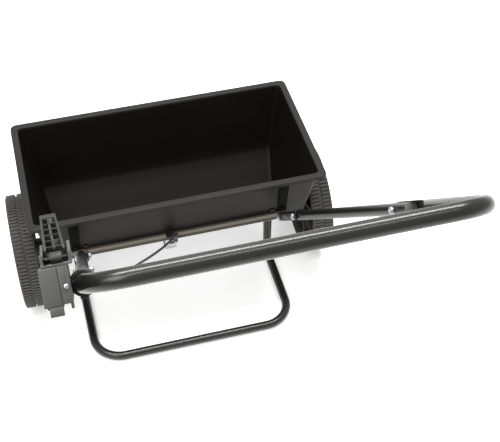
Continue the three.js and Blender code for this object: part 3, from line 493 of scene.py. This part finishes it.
ANCHOR = Vector((-0.012, -0.092, 0.040))
WIRE_DIR = (Vector((-0.012, -0.057, 0.001)) - ANCHOR).normalized()
ROUTE = [on_control(-0.0277, 0.1023, 0), on_control(-0.0277, 0.124, -0.003)] + [
    AXLE + p for p in (
        Vector((-0.243, -0.764, 0.718)), Vector((-0.216, -0.697, 0.645)),
        Vector((-0.172, -0.587, 0.529)), Vector((-0.128, -0.487, 0.434)),
        Vector((-0.079, -0.369, 0.325)), Vector((-0.040, -0.262, 0.229)),
        Vector((-0.020, -0.186, 0.157)), Vector((-0.014, -0.152, 0.119)),
        Vector((-0.012, -0.150, 0.100)), ANCHOR - WIRE_DIR * 0.040,
        ANCHOR - WIRE_DIR * 0.020, ANCHOR,
    )
]
cable_path, cable_length = rounded_route(ROUTE, 220)
# The casing is hollow, so the inner wire can draw back into it when the lever is pulled.
bm = bmesh.new()
pipe_into(bm, cable_path, CASING_R, CASING_WALL, 20)
casing = settle(from_bmesh("v_control_cable", bm), "control_cable")
bm = bmesh.new()
start_dir = (cable_path[1] - cable_path[0]).normalized()
lathe_into(bm, [(0, -0.001), (0.0045, -0.001), (0.0045, 0.004), (0.0036, 0.005),
                (0.0036, 0.011), (0.0030, 0.012), (0.0030, 0.016), (0, 0.0162)],
           cable_path[0], start_dir, 28)
boot = extra(from_bmesh("cable_boot", bm), "frame", CABLE)
bm = bmesh.new()
ferrule_bore = CASING_R + 0.00008
ferrule_end = -0.0002
closed_lathe_into(bm, [(ferrule_bore, -FERRULE_LENGTH), (FERRULE_R, -FERRULE_LENGTH),
                       (FERRULE_R, ferrule_end), (ferrule_bore, ferrule_end)],
                  cable_path[-1], WIRE_DIR, 24)
ferrule = extra(from_bmesh("cable_ferrule", bm), "frame", ZINC)


# ------------------------------------------------------------------ hopper
def lerp_at(v, a, b):
    """The value at v on the straight line through two (place, value) pairs."""
    return a[1] + (b[1] - a[1]) * (v - a[0]) / (b[0] - a[0])


REAR_CREASE_Y = RIM_REAR + FLANGE + DRAFT * (RIM_Z - REAR_CREASE_Z)
FRONT_CREASE_Y = RIM_FRONT - FLANGE - DRAFT * (RIM_Z - FRONT_CREASE_Z)


def end_at(z):
    """Half the hopper's outer length at a height."""
    return RIM_HALF - FLANGE - DRAFT * (RIM_Z - z)


def rear_at(z):
    """The y of the rear wall's outer face at a height."""
    if z >= REAR_CREASE_Z:
        return lerp_at(z, (RIM_Z, RIM_REAR + FLANGE), (REAR_CREASE_Z, REAR_CREASE_Y))
    return lerp_at(z, (REAR_CREASE_Z, REAR_CREASE_Y), (FLOOR_Z, FLOOR_REAR))


def front_at(z):
    """The y of the front wall's outer face at a height."""
    if z >= FRONT_CREASE_Z:
        return lerp_at(z, (RIM_Z, RIM_FRONT - FLANGE), (FRONT_CREASE_Z, FRONT_CREASE_Y))
    return lerp_at(z, (FRONT_CREASE_Z, FRONT_CREASE_Y), (FLOOR_Z, FLOOR_FRONT))


def level_ring(bm, z, inset, radius, rim=False, corner=8):
    """One rounded rectangle of the hopper at a height, inset from its outer face."""
    half = (RIM_HALF if rim else end_at(z)) - inset
    rear = (RIM_REAR if rim else rear_at(z)) + inset
    front = (RIM_FRONT if rim else front_at(z)) - inset
    out = []
    for cx, cy, start in ((1, 1, 0), (-1, 1, 90), (-1, -1, 180), (1, -1, 270)):
        mx = cx * (half - radius)
        my = (front - radius) if cy > 0 else (rear + radius)
        for k in range(corner + 1):
            t = math.radians(start + 90 * k / corner)
            out.append(bm.verts.new(AXLE + Vector(
                (mx + radius * math.cos(t), my + radius * math.sin(t), z))))
    return out


# Rings go up the outside, round the turned-down rim and down the inside.
bm = bmesh.new()
RIM_ROUND, MOUTH_ROUND = 0.0032, 0.0025
rings = [level_ring(bm, FLOOR_Z, 0.0015, 0.011),
         level_ring(bm, FLOOR_Z + 0.0015, 0, OUTER_CORNER)]
for z in (0.02, 0.045, FRONT_CREASE_Z - 0.002, FRONT_CREASE_Z + 0.002, 0.09,
          REAR_CREASE_Z - 0.002, REAR_CREASE_Z + 0.002, 0.15, 0.19, RIM_Z - WALL - 0.0015):
    rings.append(level_ring(bm, z, 0, OUTER_CORNER))
for drop, inset in ((WALL, 0.0105), (WALL, 0.0045), (WALL + 0.001, 0.0028),
                    (LIP - 0.0004, 0.0025), (LIP, 0.002), (LIP, 0.0006), (LIP - 0.0006, 0)):
    corner = 0.0055 if inset == 0.0105 else RIM_CORNER - inset
    rings.append(level_ring(bm, RIM_Z - drop, inset, corner, rim=True))
for k in range(6):
    t = math.pi / 2 * k / 5
    off = RIM_ROUND * (1 - math.cos(t))
    rings.append(level_ring(bm, RIM_Z - RIM_ROUND + RIM_ROUND * math.sin(t), off,
                            RIM_CORNER - off, rim=True))
for k in range(5):
    t = math.pi / 2 * k / 4
    off = FLANGE + WALL - MOUTH_ROUND * (1 - math.sin(t))
    rings.append(level_ring(bm, RIM_Z - MOUTH_ROUND * (1 - math.cos(t)), off, INNER_CORNER,
                            rim=True))
for z in (0.19, 0.15, REAR_CREASE_Z + 0.003, REAR_CREASE_Z - 0.003, 0.09,
          FRONT_CREASE_Z + 0.004, FRONT_CREASE_Z - 0.004, 0.045, 0.02):
    rings.append(level_ring(bm, z, WALL, INNER_CORNER))
rings.append(level_ring(bm, FLOOR_Z + WALL + 0.002, SLOPE_WALL, 0.008))
rings.append(level_ring(bm, FLOOR_Z + WALL, SLOPE_WALL + 0.002, 0.006))
ring_faces(bm, rings)
bm.faces.new(rings[0])
bm.faces.new(list(reversed(rings[-1])))
hopper = from_bmesh("v_hopper_shell", bm, 40)
# Axle bosses on the ends, and the small lugs that the straps hook over.
bm = bmesh.new()
for side in (-1, 1):
    lathe_into(bm, [(0, -0.005), (0.0174, -0.005), (0.0174, 0.0052), (0.0166, 0.006), (0, 0.006)],
               AXLE + Vector((side * end_at(0), 0, 0)), Vector((side, 0, 0)), 40)
for side in (-1, 1):
    cuboid(bm, AXLE + Vector((side * LUG_X - 0.005, rear_at(LUG_Z) - 0.004, LUG_Z - 0.0085)),
           AXLE + Vector((side * LUG_X + 0.005, rear_at(LUG_Z) + 0.002, LUG_Z + 0.0085)))
boolean(hopper, bm, "UNION")
# Bearing seats and the row of drop slots in the floor.
bm = bmesh.new()
for side in (-1, 1):
    lathe_into(bm, [(0, -0.02), (0.01035, -0.02), (0.01035, 0.009), (0, 0.009)],
               AXLE + Vector((side * end_at(0), 0, 0)), Vector((side, 0, 0)), 40)
for i in range(DROP_COUNT):
    x = (i - (DROP_COUNT - 1) / 2) * DROP_PITCH
    cuboid(bm, AXLE + Vector((x - DROP_LENGTH / 2, 0.004, FLOOR_Z - 0.001)),
           AXLE + Vector((x + DROP_LENGTH / 2, 0.010, FLOOR_Z + WALL + 0.003)))
boolean(hopper, bm)
settle(resmooth(hopper, 38), "hopper_shell")


# ------------------------------------------------------------------ wheels
def lug_band(name, radius, count, length, width, height, offset, centre_x):
    """Cross lugs round the tread, placed by a Geometry Nodes group and baked."""
    tree = bpy.data.node_groups.new(name + "_nodes", "GeometryNodeTree")
    face = tree.interface
    face.new_socket("Geometry", in_out="OUTPUT", socket_type="NodeSocketGeometry")
    for label, kind, value in (
        ("Count", "NodeSocketInt", count), ("Radius", "NodeSocketFloat", radius),
        ("Lug Length", "NodeSocketFloat", length), ("Lug Width", "NodeSocketFloat", width),
        ("Lug Height", "NodeSocketFloat", height), ("Turn", "NodeSocketFloat", offset),
    ):
        socket = face.new_socket(label, in_out="INPUT", socket_type=kind)
        socket.default_value = value
    given = tree.nodes.new("NodeGroupInput")
    size = node(tree, "ShaderNodeCombineXYZ", X=(given, "Lug Height"), Y=(given, "Lug Width"),
                Z=(given, "Lug Length"))
    lug = node(tree, "GeometryNodeMeshCube", Size=(size, "Vector"))
    ring = node(tree, "GeometryNodeMeshCircle", Vertices=(given, "Count"), Radius=(given, "Radius"))
    where = node(tree, "GeometryNodeInputPosition")
    turn = node(tree, "FunctionNodeAlignRotationToVector", {"axis": "X"},
                Vector=(where, "Position"))
    spread = node(tree, "GeometryNodeInstanceOnPoints", Points=(ring, "Mesh"),
                  Instance=(lug, "Mesh"), Rotation=(turn, "Rotation"))
    spin = node(tree, "ShaderNodeCombineXYZ", Z=(given, "Turn"))
    turned = node(tree, "GeometryNodeTransform", Geometry=(spread, "Instances"),
                  Rotation=(spin, "Vector"))
    real = node(tree, "GeometryNodeRealizeInstances", Geometry=(turned, "Geometry"))
    paint = node(tree, "GeometryNodeSetMaterial", Geometry=(real, "Geometry"))
    paint.inputs["Material"].default_value = WHEEL
    node(tree, "NodeGroupOutput", Geometry=(paint, "Geometry"))
    mesh = bpy.data.meshes.new(name)
    made = bpy.data.objects.new(name, mesh)
    bpy.context.scene.collection.objects.link(made)
    step = made.modifiers.new("lugs", "NODES")
    step.node_group = tree
    applied(made)
    made.data.transform(Matrix.Translation(AXLE + Vector((centre_x, 0, 0)))
                        @ Matrix.Rotation(math.pi / 2, 4, "Y"))
    return made


# The tread's valleys. The lugs stand out from them to the wheel's full radius.
VALLEY = WHEEL_R - 0.0028
for label, side in (("left", -1), ("right", 1)):
    w = WHEEL_W
    barrel = WHEEL_R - 0.013
    mid = w * 0.52
    profile = [
        (HUB_BORE, -0.019), (HUB_R - 0.001, -0.019), (HUB_R, -0.018), (HUB_R, -0.004),
        (HUB_R + 0.0015, mid - 0.004), (HUB_R + 0.006, mid), (barrel - 0.006, mid),
        (barrel - 0.001, mid - 0.003), (barrel, mid - 0.008), (barrel + 0.001, 0.0012),
        (barrel + 0.002, 0.0), (VALLEY - 0.004, 0.0), (VALLEY - 0.0015, 0.0006),
        (VALLEY, 0.0024), (VALLEY, w / 2 - 0.0022), (VALLEY - 0.0015, w / 2 - 0.0016),
        (VALLEY - 0.0015, w / 2 + 0.0016), (VALLEY, w / 2 + 0.0022), (VALLEY, w - 0.0024),
        (VALLEY - 0.0015, w - 0.0006), (VALLEY - 0.004, w), (barrel + 0.002, w),
        (barrel + 0.001, w - 0.0012), (barrel, w - 0.006), (barrel - 0.001, mid + 0.008),
        (barrel - 0.006, mid + WEB), (HUB_R + 0.006, mid + WEB),
        (HUB_R + 0.0015, mid + 0.009), (HUB_R, w - 0.0065), (HUB_R - 0.001, w - 0.0053),
        (HUB_BORE, w - 0.0053),
    ]
    bm = bmesh.new()
    closed_lathe_into(bm, profile, AXLE + Vector((side * WHEEL_INNER, 0, 0)),
                      Vector((side, 0, 0)), 144)
    wheel = from_bmesh("v_wheel_" + label, bm, 40)
    bm = bmesh.new()
    for k in range(RIBS):
        angle = (k + 0.5) * 2 * math.pi / RIBS
        rib = cuboid(bm, (-w * 0.2, HUB_R - 0.002, -0.002), (w * 0.2, barrel + 0.001, 0.002))
        bmesh.ops.transform(bm, verts=rib, matrix=Matrix.Translation(
            AXLE + Vector((side * (WHEEL_INNER + w * 0.34), 0, 0)))
            @ Matrix.Rotation(angle, 4, "X"))
    boolean(wheel, bm, "UNION")
    wheel = resmooth(wheel, 40)
    settle(wheel, "wheel_" + label)
    # Two bands of lugs, the outer one set round by half a lug.
    band = w / 2 - 0.0046
    for number, centre, phase in (
        (1, WHEEL_INNER + 0.0024 + band / 2, 0.0),
        (2, WHEEL_INNER + w - 0.0024 - band / 2, math.pi / LUGS),
    ):
        lugs = lug_band(f"tread_{label}_{number}", VALLEY + 0.0009, LUGS, band, LUG_WIDTH,
                        LUG_HEIGHT, phase, side * centre)
        edge = lugs.modifiers.new("round", "BEVEL")
        edge.width = 0.0006
        edge.segments = 2
        applied(lugs)
        for polygon in lugs.data.polygons:
            polygon.use_smooth = True
        extra(lugs, BODY_OF["wheel_" + label], WHEEL)
    softened("hub_cap_" + label, 0.0006)


# ------------------------------------------------------------------ bent tubes
def leg_point(side, s, n=0.0):
    """A point s down the centre line of one leg and n off it, away from the ground."""
    top = Vector((side * GRIP_TOP.x, GRIP_TOP.y, GRIP_TOP.z))
    down = (Vector((side * KNEE.x, KNEE.y, KNEE.z)) - top).normalized()
    up = Vector((0, -down.z, down.y)).normalized()
    return AXLE + top + down * s + up * n


def leg_inward(side):
    """The direction across one leg, towards the other."""
    down = leg_point(side, 1) - leg_point(side, 0)
    up = leg_point(side, 0, 1) - leg_point(side, 0)
    across = down.cross(up).normalized()
    return across if across.x * side < 0 else -across


# The upper handle, with each end scooped open on its inboard side over the lower tube.
KNEE_S = (KNEE - GRIP_TOP).length
GRIP_BEND = 0.055
bm = bmesh.new()
ends = [leg_point(side, JOINT_S + SADDLE_BELOW) for side in (-1, 1)]
tops = [leg_point(side, 0) for side in (-1, 1)]
pipe_into(bm, arc_corner([ends[0], *tops, ends[1]], [GRIP_BEND, GRIP_BEND], 20), GRIP_R,
          GRIP_R - GRIP_BORE, 40)
handle = from_bmesh("v_upper_handle", bm)
bm = bmesh.new()
for side in (-1, 1):
    s0, s1 = JOINT_S - SADDLE_ABOVE, JOINT_S + SADDLE_BELOW + 0.005
    outline = [(s0, 0.04), (s0, 0.012), (s0 + 0.003, 0.0098), (s0 + 0.009, 0.0066),
               (s0 + 0.018, 0.0038), (s0 + 0.030, 0.0016), (s0 + 0.045, 0.0), (s1, 0.0),
               (s1, 0.04)]
    below, above = [
        [bm.verts.new(leg_point(side, s, n) + leg_inward(side) * i) for s, i in outline]
        for n in (-0.03, 0.03)
    ]
    ring_faces(bm, [below, above])
    bm.faces.new(below)
    bm.faces.new(list(reversed(above)))
boolean(handle, bm)
settle(resmooth(handle), "upper_handle")

for label, side in (("left", -1), ("right", 1)):
    bm = bmesh.new()
    pipe_into(bm, [leg_point(side, LOWER_TOP_S), leg_point(side, KNEE_S + LOWER_PAST_KNEE)],
              TUBE_R, TUBE_WALL)
    settle(from_bmesh("v_lower_tube_" + label, bm), "lower_tube_" + label)
    softened("tube_plug_" + label, 0.0012, 3)

# The stand: one bent tube on the ground, cut off by the sloping wall, with two flat feet.
bm = bmesh.new()
stand_z = TUBE_R - AXLE.z
half_stand = [(STAND_FRONT, 0.02), (STAND_FRONT, stand_z), (STAND_REAR, stand_z)]
corners = [AXLE + Vector((-STAND_HALF, y, z)) for y, z in half_stand]
corners += [AXLE + Vector((STAND_HALF, y, z)) for y, z in reversed(half_stand)]
pipe_into(bm, arc_corner(corners, [0.038, 0.060, 0.060, 0.038], 16), TUBE_R, TUBE_WALL)
stand = from_bmesh("v_stand", bm)
FUNNEL_UP = Vector((0, REAR_CREASE_Y - FLOOR_REAR, REAR_CREASE_Z - FLOOR_Z)).normalized()
FUNNEL_OUT = Vector((0, -FUNNEL_UP.z, FUNNEL_UP.y))
WALL_AXES = Matrix((
    (1, 0, 0, 0),
    (0, FUNNEL_UP.y, FUNNEL_OUT.y, 0),
    (0, FUNNEL_UP.z, FUNNEL_OUT.z, 0),
    (0, 0, 0, 1),
))


def on_funnel(x, z, off):
    """A point standing off the outside of the sloping rear wall."""
    return AXLE + Vector((x, rear_at(z), z)) + FUNNEL_OUT * off


bm = bmesh.new()
slab = cuboid(bm, (-0.26, -0.1, -0.06), (0.26, 0.1, 0))
bmesh.ops.transform(bm, verts=slab,
                    matrix=Matrix.Translation(on_funnel(0, 0, 0.0034)) @ WALL_AXES)
boolean(stand, bm)
bm = bmesh.new()
for side in (-1, 1):
    foot = cuboid(bm, (-0.015, -0.033, -0.0015), (0.015, 0.033, 0.0015))
    centre = on_funnel(side * STAND_HALF, FLOOR_Z + 0.050, 0.0022) - FUNNEL_UP * 0.012
    bmesh.ops.transform(bm, verts=foot, matrix=Matrix.Translation(centre) @ WALL_AXES)
boolean(stand, bm, "UNION")
settle(resmooth(stand), "stand")


# ------------------------------------------------------------------ fasteners
def ends_of(name, direction):
    """A CAD node's points, and how far they reach along a direction."""
    points = [v.co.copy() for v in frame["nodes"][name].data.vertices]
    spans = [p.dot(direction) for p in points]
    return points, min(spans), max(spans)


def bolt(name, direction):
    """Smooth carriage bolt with a domed head and a threaded end, in place of the CAD one."""
    d = direction.normalized()
    points, low, high = ends_of(name, d)
    ring = [p for p in points if p.dot(d) > high - 1e-5]
    on_axis = sum(ring, Vector()) / len(ring)
    base = on_axis - d * (high - low)
    length = high - low
    head = BOLT_R * 1.1
    profile = [(0, 0), (BOLT_R * 0.7, head * 0.06), (BOLT_R * 1.3, head * 0.25),
               (BOLT_R * 1.8, head * 0.58), (BOLT_R * 2.05, head * 0.86),
               (BOLT_R * 2.1, head * 0.94), (BOLT_R * 2.05, head), (BOLT_R, head)]
    h = max(head + 0.001, length - THREAD_LENGTH)
    profile.append((BOLT_R, h))
    while h + THREAD_PITCH < length - 0.0005:
        profile += [(BOLT_R - THREAD_DEPTH, h + THREAD_PITCH * 0.5), (BOLT_R, h + THREAD_PITCH)]
        h += THREAD_PITCH
    profile += [(BOLT_R - 0.0006, length), (0, length)]
    bm = bmesh.new()
    lathe_into(bm, profile, base, d, 28)
    return settle(from_bmesh("v_" + name, bm, 30), name)


def nut(name, direction):
    """Hexagon nut with chamfered corners, in place of the CAD one."""
    d = direction.normalized()
    points, low, high = ends_of(name, d)
    middle = sum(points, Vector()) / len(points)
    base = middle + d * (low - middle.dot(d))
    height = high - low
    turn = frame_at(d)
    angles = [2 * math.pi * k / NUT_STEPS for k in range(NUT_STEPS)]
    bm = bmesh.new()

    def ring_at(radius_at, h):
        return [bm.verts.new(base + turn @ Vector((
            radius_at(t) * math.cos(t), radius_at(t) * math.sin(t), h))) for t in angles]

    def hexagon(t):
        return NUT_HALF_FLAT / math.cos((t + math.pi / 6) % (math.pi / 3) - math.pi / 6)

    def chamfered(t):
        return min(hexagon(t), NUT_HALF_FLAT * 1.02)

    rings = [ring_at(chamfered, 0), ring_at(hexagon, 0.0006), ring_at(hexagon, height - 0.0006),
             ring_at(chamfered, height), ring_at(lambda t: NUT_BORE, height),
             ring_at(lambda t: NUT_BORE, 0)]
    ring_faces(bm, rings + [rings[0]])
    return settle(from_bmesh("v_" + name, bm, 25), name)


for label, side in (("left", -1), ("right", 1)):
    inward = leg_inward(side)
    for number in (1, 2):
        bolt(f"bracket_bolt_{label}_{number}", inward)
        nut(f"bracket_nut_{label}_{number}", inward)
    bolt(f"joint_bolt_{label}", inward)
    nut(f"joint_nut_{label}", inward)
    bolt(f"strap_bolt_{label}", Vector((0, 1, 0)))
    bolt(f"stand_bolt_{label}", FUNNEL_OUT)
    nut(f"stand_nut_{label}", FUNNEL_OUT)

# The rest keep the CAD shape with its edges rounded, by this much in metres.
ROUNDED = {
    "strap_left": 0.0005, "strap_right": 0.0005, "cross_rail": 0.0006,
    "tube_bracket_left": 0.0008, "tube_bracket_right": 0.0008, "shutter_plate": 0.0003,
    "shutter_guide_left": 0.0004, "shutter_guide_right": 0.0004, "bearing_left": 0.0005,
    "bearing_right": 0.0005, "spacer_left": 0.0005, "spacer_right": 0.0005,
    "drive_pin": 0.0004, "axle": 0.0008, "agitator": 0.0004, "cable_clip": 0.0004,
    "cable_anchor": 0.0004, "shutter_wire": 0.0002, "control_screw": 0.0003,
    "lever_pin": 0.0004, "control_clamp": 0.0006, "rate_stop": 0.0008,
    "control_shell_outer": 0.0022, "control_shell_inner": 0.0018, "control_surround": 0.0012,
    "control_lever": 0.0005,
}
for name, width in ROUNDED.items():
    softened(name, width, 3 if width > 0.001 else 2)


# ------------------------------------------------------------------ floor and light
bpy.ops.mesh.primitive_plane_add(size=12, location=(0, 0, -0.0004))
floor = bpy.context.active_object
floor.name = "floor"
# Matt board, lit a little from within so that it stays white behind the dark object.
pale = surface("matt_pale_floor", "fafaf9", "fcfcfb", patches=3, rough=0.8, vary=0.02,
               grain=0.002, specular=0.1)
glow = next(n for n in pale.node_tree.nodes if n.type == "BSDF_PRINCIPLED")
glow.inputs["Emission Color"].default_value = (1, 1, 1, 1)
glow.inputs["Emission Strength"].default_value = 0.32
floor.data.materials.append(pale)

world = bpy.data.worlds.new("studio")
bpy.context.scene.world = world
world.use_nodes = True
world.node_tree.nodes["Background"].inputs["Color"].default_value = (1, 1, 1, 1)
world.node_tree.nodes["Background"].inputs["Strength"].default_value = 0.6


def softbox(name, location, target, size, power):
    """A rectangular lamp aimed at a point."""
    data = bpy.data.lights.new(name, "AREA")
    data.shape = "RECTANGLE"
    data.size, data.size_y = size
    data.energy = power
    lamp = bpy.data.objects.new(name, data)
    lamp.location = location
    lamp.rotation_euler = (Vector(target) - Vector(location)).to_track_quat("-Z", "Y").to_euler()
    bpy.context.scene.collection.objects.link(lamp)


# The overhead strip stands behind the handle, so its long highlight lies on the crossbar.
softbox("key", (-1.5, -1.2, 2.6), (0, 0.1, 0.3), (1.4, 1.4), 34)
softbox("back", (0.6, 2.4, 2.2), (0, 0.2, 0.3), (2.2, 1.2), 14)
softbox("overhead", (0.1, 0.45, 2.9), (0.1, -0.4, 0.95), (2.8, 0.3), 105)
softbox("overhead_front", (0.1, -1.0, 3.0), (0.1, -0.5, 0.9), (1.8, 0.1), 14)

bpy.context.scene.view_settings.view_transform = "Standard"
